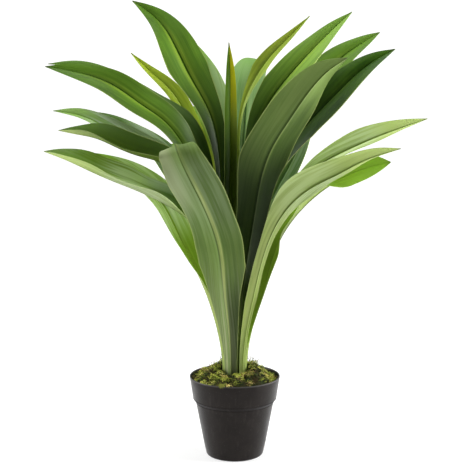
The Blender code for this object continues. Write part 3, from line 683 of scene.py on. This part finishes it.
leaf("leaf_left_young", ring=2, around=120, width=0.030, neck=0.2, full=0.8, taper=0.75, fold=20,
     young=True, tone=1.0, lime=1.0, pale=1.0, dusk=0.2, dusk_end=0.64,
     path=[(-0.028, 0.056, 0.378), (-0.050, 0.082, 0.438), (-0.072, 0.096, 0.486),
           (-0.096, 0.110, 0.522), (-0.126, 0.120, 0.548), (-0.154, 0.130, 0.574)],
     face=[(0.3, (0.6, -0.7, 0.3)), (0.6, (0.4, -0.75, 0.5)), (1, (0.3, -0.8, 0.5))])
leaf("leaf_left_high", ring=2, around=178, width=0.052, full=0.55, taper=0.72, fold=14,
     tone=0.22, lime=0.5, pale=0.6, dusk=0.85, dusk_end=0.76,
     path=[(-0.034, 0.004, 0.358), (-0.062, 0.004, 0.430), (-0.086, 0.004, 0.470),
           (-0.104, 0.004, 0.488), (-0.130, 0.004, 0.506), (-0.172, 0.010, 0.534),
           (-0.220, 0.016, 0.550), (-0.266, 0.020, 0.558)],
     face=[(0.3, (0.9, -0.2, 0.3)), (0.55, (0.5, -0.5, 0.7)), (0.72, (0.3, -0.6, 0.7)),
           (0.85, (0.2, -0.8, 0.5)), (1, (0.2, -0.8, 0.5))])
leaf("leaf_left_tall", ring=1, around=158, width=0.070, full=0.5, taper=0.72, fold=14,
     tone=0.20, lime=0.8, pale=0.6, dusk=0.92, dusk_end=0.84,
     path=[(-0.020, 0.016, 0.398), (-0.036, 0.044, 0.492), (-0.064, 0.070, 0.542),
           (-0.088, 0.090, 0.588), (-0.112, 0.110, 0.622), (-0.132, 0.116, 0.638),
           (-0.150, 0.116, 0.650)],
     face=[(0.3, (0.7, -0.6, 0.2)), (0.6, (0.4, -0.85, 0.3)), (1, (0.3, -0.8, 0.5))])
leaf("leaf_top_left", ring=1, around=112, width=0.046, full=0.5, taper=0.68,
     tone=1.0, pale=0.9, sheen=0.3, blue=0.2, dusk=0.5,
     path=[(-0.016, 0.036, 0.418), (-0.026, 0.076, 0.502), (-0.040, 0.110, 0.550),
           (-0.060, 0.140, 0.590)],
     face=[(0.3, (0.2, -0.9, 0.3)), (0.6, (0.4, -0.85, 0.3)), (1, (0.3, -0.8, 0.5))])
leaf("leaf_top_back", ring=1, around=70, width=0.058, full=0.5, taper=0.8,
     tone=0.7, lime=0.5, pale=0.6, sheen=0.1, blue=0.7, dusk=0.9, dusk_end=0.76,
     path=[(0.010, 0.050, 0.416), (0.016, 0.104, 0.488), (0.022, 0.144, 0.536), (0.034, 0.184, 0.556),
           (0.048, 0.234, 0.558)],
     face=[(0.3, (0, -0.9, 0.3)), (0.7, (-0.1, -0.85, 0.5)), (1, (-0.1, -0.4, 0.9))])
leaf("leaf_right_tall", ring=1, around=28, width=0.055, full=0.5, taper=0.68, fold=16,
     tone=(0.95, 0.60), lime=0.9, pale=0.7, blue=0.15, dusk=0.93, dusk_end=0.86,
     path=[(0.020, 0.018, 0.420), (0.044, 0.040, 0.498), (0.078, 0.060, 0.544), (0.114, 0.080, 0.582),
           (0.146, 0.100, 0.612), (0.172, 0.116, 0.634)],
     face=[(0.3, (-0.7, -0.6, 0.3)), (0.6, (-0.4, -0.85, 0.3)), (1, (-0.3, -0.8, 0.5))])
leaf("leaf_top_young", ring=1, around=330, width=0.032, full=0.6, taper=0.68, young=True,
     tone=(0.60, 0.9), lime=0.9, pale=0.8, blue=0.1, dusk=0.85, dusk_end=0.72,
     path=[(0.006, -0.004, 0.422), (0.012, 0.0, 0.504), (0.030, 0.012, 0.544), (0.050, 0.020, 0.572),
           (0.078, 0.032, 0.600), (0.106, 0.044, 0.628)],
     face=[(0.3, (-0.8, -0.4, 0.2)), (0.55, (-0.4, -0.85, 0.4)), (1, (-0.4, -0.8, 0.5))])
leaf("leaf_spear", ring=1, around=240, width=0.019, share=100, neck=0.45, full=0.6, taper=0.8,
     young=True, tone=(1.0, 0.0), lime=0.0, pale=0.6, dusk=0.97, dusk_end=0.90, warm=0.9,
     path=[(-0.006, -0.016, 0.424), (-0.006, -0.016, 0.500), (-0.006, -0.016, 0.540),
           (-0.008, -0.010, 0.592)],
     face=[(0.3, (0.5, 0.5, 0.2)), (0.45, (0.8, -0.5, 0.2)), (0.6, (0.2, -0.95, 0.1)),
           (1, (0.1, -0.95, 0.1))])


# Pot


def arc(centre, radius, start_deg, end_deg, steps):
    """Points along an arc, as (r, z)."""
    angles = np.radians(np.linspace(start_deg, end_deg, steps + 1))
    return [(centre[0] + radius * math.cos(a), centre[1] + radius * math.sin(a)) for a in angles]


def turned(name, profile, material):
    """Turn a profile of (r, z) points that starts and ends on the axis."""
    verts, rings = [], []
    for r, z in profile:
        if r < 1e-9:
            rings.append([len(verts)] * POT_SIDES)
            verts.append((0.0, 0.0, z))
            continue
        rings.append(list(range(len(verts), len(verts) + POT_SIDES)))
        for k in range(POT_SIDES):
            a = math.tau * k / POT_SIDES
            verts.append((r * math.cos(a), r * math.sin(a), z))
    faces = []
    for low, high in zip(rings, rings[1:]):
        for k in range(POT_SIDES):
            m = (k + 1) % POT_SIDES
            face = list(dict.fromkeys([low[k], low[m], high[m], high[k]]))
            if len(face) > 2:
                faces.append(face)
    return mesh_object(name, verts, faces, material, 50)


def body_r(z):
    """Outer radius of the body below the band."""
    return BASE_R + (BODY_TOP_R - BASE_R) * z / BODY_TOP_Z


def band_r(z):
    """Outer radius of the rim band."""
    t = (z - BAND_BOTTOM_Z) / (POT_H - BAND_BOTTOM_Z)
    return BAND_BOTTOM_R + (RIM_R - BAND_BOTTOM_R) * t


def inner_r(z):
    """Inner radius of the wall."""
    return body_r(z) - WALL if z <= BODY_TOP_Z else band_r(z) - WALL


def pot_material():
    """Moulded charcoal plastic: fine grain, faint cloudy wear, a painted highlight on the lip, duller
    step.
    """
    n = Material("pot_plastic")
    where = n.object_place()
    x, y, z = n.split(where)
    cloud = n.noise(where, 45.0, 4.0, 0.6)
    grain = n.noise(where, 1600.0, 2.0)
    specks = n.noise(where, 520.0, 3.0)
    streak = n.noise(n.vector(n.times(x, 220.0), n.times(y, 220.0), n.times(z, 18.0)), 1.0, 3.0)
    colour = n.mix(n.ease(cloud, 0.3, 0.75), (0.0050, 0.0036, 0.0031), (0.0105, 0.0082, 0.0072))
    colour = n.mix(n.times(n.ease(streak, 0.55, 0.8), 0.35), colour, (0.036, 0.032, 0.029))
    colour = n.mix(n.times(n.ease(specks, 0.62, 0.74), 0.35), colour, (0.060, 0.056, 0.052))
    # Painted highlight along the top of the rounded lip
    lip = n.times(n.ease(z, POT_H - 0.0022, POT_H - 0.0006), 0.5)
    colour = n.mix(lip, colour, (0.110, 0.106, 0.100))
    step = n.times(n.ease(z, BODY_TOP_Z - 0.002, BODY_TOP_Z), n.fall(z, 0.084, 0.086))
    rough = n.math("MULTIPLY_ADD", step, 0.45, n.ease(cloud, 0.2, 0.8, 0.28, 0.42))
    height = n.math("ADD", n.times(grain, 0.6), n.times(specks, 0.4))
    n.feed("Base Color", colour)
    n.feed("Roughness", rough)
    n.feed("Normal", n.bump(height, 0.35, 0.0004))
    n.shader.inputs["Specular Tint"].default_value = (1.0, 0.92, 0.88, 1)
    n.shader.inputs["Specular IOR Level"].default_value = 0.18
    n.shader.inputs["Sheen Weight"].default_value = 0.10
    n.shader.inputs["Sheen Roughness"].default_value = 0.35
    n.shader.inputs["Sheen Tint"].default_value = (0.92, 0.95, 1.0, 1)
    return n.mat


def make_pot():
    """The turned pot: rounded foot, tapered body, stepped rim band, rounded lip, plain inside."""
    outside = arc((BASE_R - FOOT_ROUND, FOOT_ROUND), FOOT_ROUND, -90, -8, 8)
    outside += [(body_r(z), z) for z in (0.02, 0.04, 0.06)]
    outside += arc((BODY_TOP_R + SHOULDER_ROUND, BODY_TOP_Z - 0.0004), SHOULDER_ROUND, 180, 100, 4)
    outside += arc((BAND_BOTTOM_R - BAND_ROUND, BAND_BOTTOM_Z - 0.0004), BAND_ROUND, -80, 0, 5)
    outside += [(band_r(z), z) for z in (0.095, 0.105)]
    outside += arc((RIM_R - LIP_ROUND, POT_H - LIP_ROUND), LIP_ROUND, 0, 150, 6)
    inside = [(RIM_R - WALL, POT_H - 0.0012), (inner_r(0.105), 0.105),
              (inner_r(BAND_BOTTOM_Z), BAND_BOTTOM_Z), (inner_r(BODY_TOP_Z), BODY_TOP_Z - 0.002),
              (body_r(FLOOR_T) - WALL - 0.002, FLOOR_T), (0.0, FLOOR_T)]
    obj = turned("pot_fine", [(0.0, 0.0)] + outside + inside, pot_material())
    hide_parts("pot")
    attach(obj, "root")


# Moss


def moss_top(r, a):
    """Height of the moss: the solid's mound, with clumps."""
    front = (0.5 - 0.5 * np.sin(a)) ** 2
    height = MOSS_MOUND * (1 - MOSS_FRONT_DIP * front)
    mound = MOSS_EDGE_Z + height * smooth(0.0, MOSS_SHOULDER, MOSS_R - r)
    lump = np.sin(5 * a + 95 * r) + np.sin(9 * a - 140 * r + 1.3) + 0.7 * np.sin(14 * a + 260 * r)
    clump = np.sin(23 * a + 300 * r + 2) * np.sin(31 * a - 420 * r) + 0.6 * np.sin(47 * a + 700 * r)
    return mound + 0.0011 * lump + 0.0009 * clump


def moss_material():
    """Matt, mottled moss in each point's own tint."""
    n = Material("moss")
    mottle = n.noise(n.object_place(), 420.0, 4.0, 0.6)
    colour = n.mix(n.ease(mottle, 0.4, 0.8, 0.0, 0.4), n.attribute("tint"), (0.020, 0.018, 0.008))
    n.feed("Base Color", colour)
    n.feed("Roughness", n.ease(mottle, 0.2, 0.8, 0.75, 0.95))
    n.feed("Normal", n.bump(mottle, 0.6, 0.001))
    n.shader.inputs["Specular IOR Level"].default_value = 0.15
    return n.mat


def make_moss(material):
    """The closed crumbly mat under the strands, dark green and brown."""
    radii = np.linspace(MOSS_INNER_R, MOSS_R, MAT_RINGS)
    verts, faces = [], []
    rng = np.random.default_rng(MAT_SEED)
    for k in range(MAT_SIDES):
        a = math.tau * k / MAT_SIDES
        for r, d in zip(radii, rng.normal(0, MAT_ROUGHNESS, MAT_RINGS)):
            verts.append((r * math.cos(a), r * math.sin(a), float(moss_top(r, a)) + d))
        for r in (inner_r(MOSS_UNDER_Z) - 0.0006, MOSS_INNER_R):
            verts.append((r * math.cos(a), r * math.sin(a), MOSS_UNDER_Z))
    size = MAT_RINGS + 2
    for k in range(MAT_SIDES):
        a, b = k * size, ((k + 1) % MAT_SIDES) * size
        for i in range(MAT_RINGS - 1):
            faces += [(a + i, a + i + 1, b + i + 1), (a + i, b + i + 1, b + i)]
        for i, j in ((MAT_RINGS - 1, MAT_RINGS), (MAT_RINGS, MAT_RINGS + 1), (MAT_RINGS + 1, 0)):
            faces.append((a + i, a + j, b + j, b + i))
    obj = mesh_object("moss_mat", verts, faces, material, 80)
    v = np.array(verts)
    t = 0.5 + 0.5 * np.sin(v[:, 0] * 310 + 2) * np.sin(v[:, 1] * 270 + 1)
    tints = np.array(MOSS_TINTS[6]) * (1 - t[:, None]) + np.array(MOSS_TINTS[4]) * t[:, None]
    set_vectors(obj, "tint", tints * MAT_SHADE)
    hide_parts("moss")
    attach(obj, "root")


class Strands:
    """Curled moss strands in one mesh. All draws come from one source, in a fixed order."""

    def __init__(self, rng):
        self.rng = rng
        self.verts, self.faces, self.tints = [], [], []

    def add(self, point, tint, heading, pitch, step, radius, held=True, bend=(0.10, 0.5)):
        """One thin tapered tube that bends as it goes, and stays inside the pot where it is held."""
        rng, start = self.rng, len(self.verts)
        turn, dip = rng.uniform(-1.2, 1.2), rng.uniform(*bend)
        for i in range(STRAND_POINTS):
            level = math.cos(pitch)
            direction = np.array([math.cos(heading) * level, math.sin(heading) * level, math.sin(pitch)])
            side = unit(np.cross(direction, (0.1, 0.2, 1.0)))
            other = np.cross(direction, side)
            size = radius * (1 - STRAND_TAPER * i / (STRAND_POINTS - 1))
            for k in range(STRAND_SIDES):
                t = math.tau * k / STRAND_SIDES
                self.verts.append(point + size * (side * math.cos(t) + other * math.sin(t)))
                self.tints.append(tint)
            point = point + direction * step
            reach = math.hypot(point[0], point[1])
            if not held and reach > DROOP_FROM:
                pitch -= DROOP
            if held and reach > STRAND_REACH and point[2] < POT_H + 0.0012:
                point[:2] *= STRAND_REACH / reach
            if reach < MOSS_INNER_R:
                point[:2] *= MOSS_INNER_R / reach
            heading += turn * rng.uniform(0.3, 1.0)
            pitch -= dip * rng.uniform(0.4, 1.2)
        for i in range(STRAND_POINTS - 1):
            for k in range(STRAND_SIDES):
                p = start + i * STRAND_SIDES + k
                q = start + i * STRAND_SIDES + (k + 1) % STRAND_SIDES
                self.faces.append((p, q, q + STRAND_SIDES, p + STRAND_SIDES))
        end = start + (STRAND_POINTS - 1) * STRAND_SIDES
        self.faces += [(start + 2, start + 1, start), (end, end + 1, end + 2)]


def moss_clumps(rng):
    """Clumps of moss: middle, radius, height and the tints that it draws from."""
    clumps = []
    for _ in range(CLUMPS):
        a = rng.uniform(0, math.tau)
        r = math.sqrt(rng.uniform((WELL_R + 0.002) ** 2, (MOSS_R - 0.003) ** 2))
        near = 1 - smooth(WELL_R, MOSS_R, r)
        clumps.append((r * math.cos(a), r * math.sin(a), rng.uniform(0.0045, 0.0085),
                       rng.uniform(0.0015, 0.0040) + 0.0025 * near, rng.choice(CLUMP_TINTS)))
    return clumps


def add_to_clump(strands, clump):
    """One strand of a clump, higher the nearer it is to the clump's middle, and brighter there: painted
    light on the clump's top, painted shade towards its foot.
    """
    rng = strands.rng
    x, y, radius, height, choice = clump
    a, share = rng.uniform(0, math.tau), math.sqrt(rng.uniform(0, 1))
    x, y = x + radius * share * math.cos(a), y + radius * share * math.sin(a)
    reach = math.hypot(x, y)
    hold = min(max(reach, WELL_R), MOSS_R) / reach
    x, y = x * hold, y * hold
    crown = 1 - share ** 2
    z = float(moss_top(math.hypot(x, y), math.atan2(y, x))) + height * crown - 0.001
    # Painted light on the clump's top and painted shade towards its foot
    tint = np.array(MOSS_TINTS[rng.choice(choice)]) * rng.uniform(1.2, 3.8) * (0.30 + 0.90 * crown)
    strands.add(np.array([x, y, z]), tint, heading=rng.uniform(0, math.tau),
                pitch=rng.uniform(0.0, 0.9), step=rng.uniform(0.0006, 0.0013),
                radius=rng.uniform(0.00022, 0.00048))


def add_wiry(strands):
    """One long wiry strand that stands up beside or behind the leaves."""
    rng = strands.rng
    a, r = rng.uniform(-0.6, math.pi + 0.6), rng.uniform(WELL_R + 0.001, WELL_R + 0.016)
    point = np.array([r * math.cos(a), r * math.sin(a), float(moss_top(r, a)) + 0.001])
    tint = np.array(MOSS_TINTS[rng.choice(WIRY_TINTS)])
    strands.add(point, tint, heading=a + rng.uniform(-0.8, 0.8), pitch=rng.uniform(0.7, 1.4),
                step=rng.uniform(0.0018, 0.0032), radius=rng.uniform(0.00028, 0.00046),
                bend=(0.02, 0.3))


def add_curl(strands):
    """One strand of the curl that hangs over the rim in front."""
    rng = strands.rng
    a, r = math.radians(rng.uniform(*CURL_BETWEEN_DEG)), rng.uniform(MOSS_R - 0.002, RIM_R + 0.0012)
    point = np.array([r * math.cos(a), r * math.sin(a), POT_H + 0.001 + rng.uniform(0, 0.0022)])
    tint = np.array(MOSS_TINTS[rng.choice(CURL_TINTS)]) * rng.uniform(0.9, 1.5)
    strands.add(point, tint, heading=a + rng.uniform(-1.2, 1.2), pitch=rng.uniform(-0.3, 0.5),
                step=0.0008, radius=rng.uniform(0.00022, 0.00038), held=False)


def make_fibres(material):
    """Moss strands in clumps over the mound, a few wiry ones beside the leaves and one curl."""
    strands = Strands(random.Random(STRAND_SEED))
    clumps = moss_clumps(strands.rng)
    for i in range(CLUMP_STRANDS):
        add_to_clump(strands, clumps[i % CLUMPS])
    for _ in range(WIRY_STRANDS):
        add_wiry(strands)
    for _ in range(CURL_STRANDS):
        add_curl(strands)
    obj = mesh_object("moss_strands", strands.verts, strands.faces, material, 80)
    set_vectors(obj, "tint", strands.tints)
    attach(obj, "root")


def plain_rough(name, dark, light, scale):
    """A rough natural surface for the pieces that are nearly hidden."""
    n = Material(name)
    crumbs = n.noise(n.object_place(), scale, 5.0, 0.65)
    n.feed("Base Color", n.mix(n.ease(crumbs, 0.35, 0.65), dark, light))
    n.feed("Roughness", n.ease(crumbs, 0.2, 0.8, 0.8, 0.95))
    n.feed("Normal", n.bump(crumbs, 0.8, 0.002))
    return n.mat


def dress(node, material):
    """Give a solid of the frame its only material."""
    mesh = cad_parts[node].data
    mesh.materials.clear()
    mesh.materials.append(material)


# Stage, light and camera


def make_floor():
    """A white floor that fades into the backdrop: its glow grows with the distance."""
    n = Material("floor_white")
    where = n.object_place()
    reach = n.new("VectorMath", operation="LENGTH")
    n.put(reach.inputs[0], where)
    n.feed("Base Color", n.mix(n.noise(where, 3.0, 2.0), (0.54, 0.54, 0.54), (0.57, 0.57, 0.57)))
    n.feed("Emission Strength", n.ease(reach.outputs["Value"], *GLOW_GROWS, NEAR_GLOW, FAR_GLOW))
    n.shader.inputs["Roughness"].default_value = 0.9
    n.shader.inputs["Specular IOR Level"].default_value = 0.1
    n.shader.inputs["Emission Color"].default_value = (1, 1, 1, 1)
    bpy.ops.mesh.primitive_circle_add(vertices=96, radius=FLOOR_R, fill_type="NGON")
    floor = bpy.context.object
    floor.name = "floor"
    floor.data.materials.append(n.mat)


def make_world():
    """White all round, darker on the photographer's side, as in a white cove."""
    world = bpy.data.worlds.new("studio")
    bpy.context.scene.world = world
    world.use_nodes = True
    n = Nodes(world.node_tree)
    _, away, _ = n.split(n.new("TexCoord").outputs["Generated"])
    strength = n.new("Mix")
    n.put(strength.inputs[0], n.new("LightPath").outputs["Is Camera Ray"])
    n.put(strength.inputs[2], n.ease(away, *FRONT_ENDS, FRONT_LIGHT, ROUND_LIGHT))
    n.put(strength.inputs[3], BACKDROP)
    back = n.tree.nodes["Background"]
    n.put(back.inputs["Strength"], strength.outputs[0])
    n.put(back.inputs["Color"], (1, 1, 1))


def area_light(name, place, size, power):
    """A softbox aimed at the middle of the plant."""
    data = bpy.data.lights.new(name, "AREA")
    data.shape = "RECTANGLE"
    data.size, data.size_y = size
    data.energy = power
    obj = add_object(name, data)
    obj.location = place
    obj.rotation_euler = (Vector(LIGHT_AIM) - Vector(place)).to_track_quat("-Z", "Y").to_euler()


def make_camera():
    """The photograph's camera: a long lens in front of the plant, tilted a little down."""
    data = bpy.data.cameras.new("camera")
    data.lens = CAMERA_LENS
    data.sensor_width = CAMERA_SENSOR
    camera = add_object("camera", data)
    camera.location = CAMERA_PLACE
    camera.rotation_euler = (math.radians(CAMERA_TILT_DEG), 0, 0)
    bpy.context.scene.camera = camera


materials = {
    "leaf": leaf_material(
        "leaf_green", upper=GREEN_UPPER, stripe=GREEN_STRIPE,
        under=((0.108, 0.212, 0.028), (0.076, 0.152, 0.018), (0.170, 0.260, 0.050),
               (0.400, 0.480, 0.170)),
        under_rib=((0.045, 0.075, 0.006), (0.560, 0.640, 0.200)),
        glow=(0.350, 0.600, 0.020), through_share=0.18),
    "leaf_pale": leaf_material(
        "leaf_pale_back", upper=GREEN_UPPER, stripe=GREEN_STRIPE,
        under=((0.105, 0.185, 0.032), (0.070, 0.130, 0.020), (0.600, 0.700, 0.290),
               (0.600, 0.710, 0.230)),
        under_rib=((0.090, 0.140, 0.012), (0.720, 0.800, 0.380)),
        glow=(0.600, 0.780, 0.200), through_share=0.48),
    "leaf_young": leaf_material(
        "leaf_lime",
        upper=((0.060, 0.150, 0.008), (0.120, 0.250, 0.012), (0.470, 0.580, 0.055)),
        stripe=(0.500, 0.600, 0.120),
        under=((0.280, 0.400, 0.060), (0.220, 0.330, 0.040), (0.380, 0.480, 0.100),
               (0.420, 0.500, 0.120)),
        under_rib=((0.110, 0.170, 0.020), (0.560, 0.640, 0.200)),
        glow=(0.500, 0.650, 0.030), through_share=0.35),
}
for spec in LEAVES:
    make_leaf(spec, materials)
make_pot()
moss = moss_material()
make_moss(moss)
make_fibres(moss)
dress("soil", plain_rough("potting_mix", (0.012, 0.008, 0.005), (0.060, 0.040, 0.024), 300.0))
dress("cane", plain_rough("cane_bark", (0.120, 0.100, 0.050), (0.260, 0.220, 0.120), 180.0))
make_floor()
make_world()
area_light("left_box", (-1.9, 0.1, 1.1), (1.2, 1.6), 58)
area_light("right_box", (1.9, 0.1, 0.9), (1.2, 1.6), 82)
area_light("top_box", (-0.3, 0.3, 2.3), (1.2, 1.2), 16)
make_camera()
bpy.context.scene.view_settings.view_transform = "Standard"
bpy.context.scene.view_settings.look = "None"
